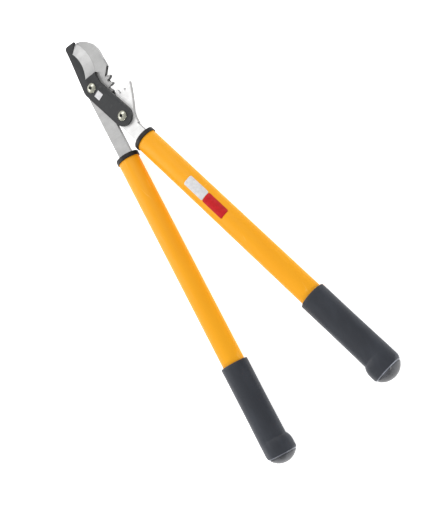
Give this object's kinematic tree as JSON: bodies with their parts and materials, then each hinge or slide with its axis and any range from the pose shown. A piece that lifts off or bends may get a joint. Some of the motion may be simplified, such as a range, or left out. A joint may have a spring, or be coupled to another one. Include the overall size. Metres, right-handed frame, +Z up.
{
  "type": "geared long-handled cutter",
  "caption": "Long-handled geared bypass cutter with a black hook plate, a steel blade with gear teeth, amber oval tube handles and black rubber grips, jaws closed.",
  "frame": {"origin": "on the blade pivot's axis, at the lower end of the blade bolt, level with the bench that the cutter lies on", "axes": "+Y along the closed jaws, -Y along the blade's handle, +Z up out of the bench, +X towards the second handle"},
  "size_m": [0.2418, 0.6983, 0.039],
  "materials": {
    "black_coating": "satin black coating over steel, with a bright ground jaw edge",
    "ground_steel": "fine ground steel",
    "bolt_steel": "zinc-plated steel",
    "bronze": "sintered bronze",
    "amber_paint": "satin amber powder paint",
    "black_plastic": "moulded black plastic",
    "grip_rubber": "soft black rubber with a fine texture",
    "cap_plastic": "smooth dark plastic, slightly shiny",
    "white_sticker": "blank glossy white label",
    "red_sticker": "blank glossy red label"
  },
  "bodies": {
    "head": {"hook_plate": "black_coating", "rear_plate": "black_coating", "blade_bolt": "bolt_steel", "lever_bolt": "bolt_steel", "blade_sleeve": "bronze", "lever_sleeve": "bronze", "blade_washer": "bolt_steel", "lever_washer": "bolt_steel", "blade_nut": "bolt_steel", "lever_nut": "bolt_steel", "plate_badge": "white_sticker"},
    "blade_arm": {"blade": "ground_steel", "blade_tube": "amber_paint", "blade_ferrule": "black_plastic", "blade_tang_block": "black_plastic", "blade_tang_pins": "bolt_steel", "blade_grip": "grip_rubber", "blade_grip_cap": "cap_plastic"},
    "lever_arm": {"lever": "ground_steel", "lever_tube": "amber_paint", "lever_ferrule": "black_plastic", "lever_tang_block": "black_plastic", "lever_tang_pins": "bolt_steel", "lever_grip": "grip_rubber", "lever_grip_cap": "cap_plastic", "upper_label": "white_sticker", "lower_label": "red_sticker"}
  },
  "joints": [
    {"name": "blade_pivot", "type": "hinge", "parent": "head", "child": "blade_arm", "pos_m": [0, 0, 0.0195], "axis": [0, 0, 1], "range_deg": [-35, 0]},
    {"name": "lever_pivot", "type": "hinge", "parent": "head", "child": "lever_arm", "pos_m": [0.02451, -0.06557, 0.0195], "axis": [0, 0, 1], "range_deg": [0, 28.64]}
  ],
  "couplings": [
    {"joint": "lever_pivot", "follows": "blade_pivot", "ratio": -0.81818}
  ]
}
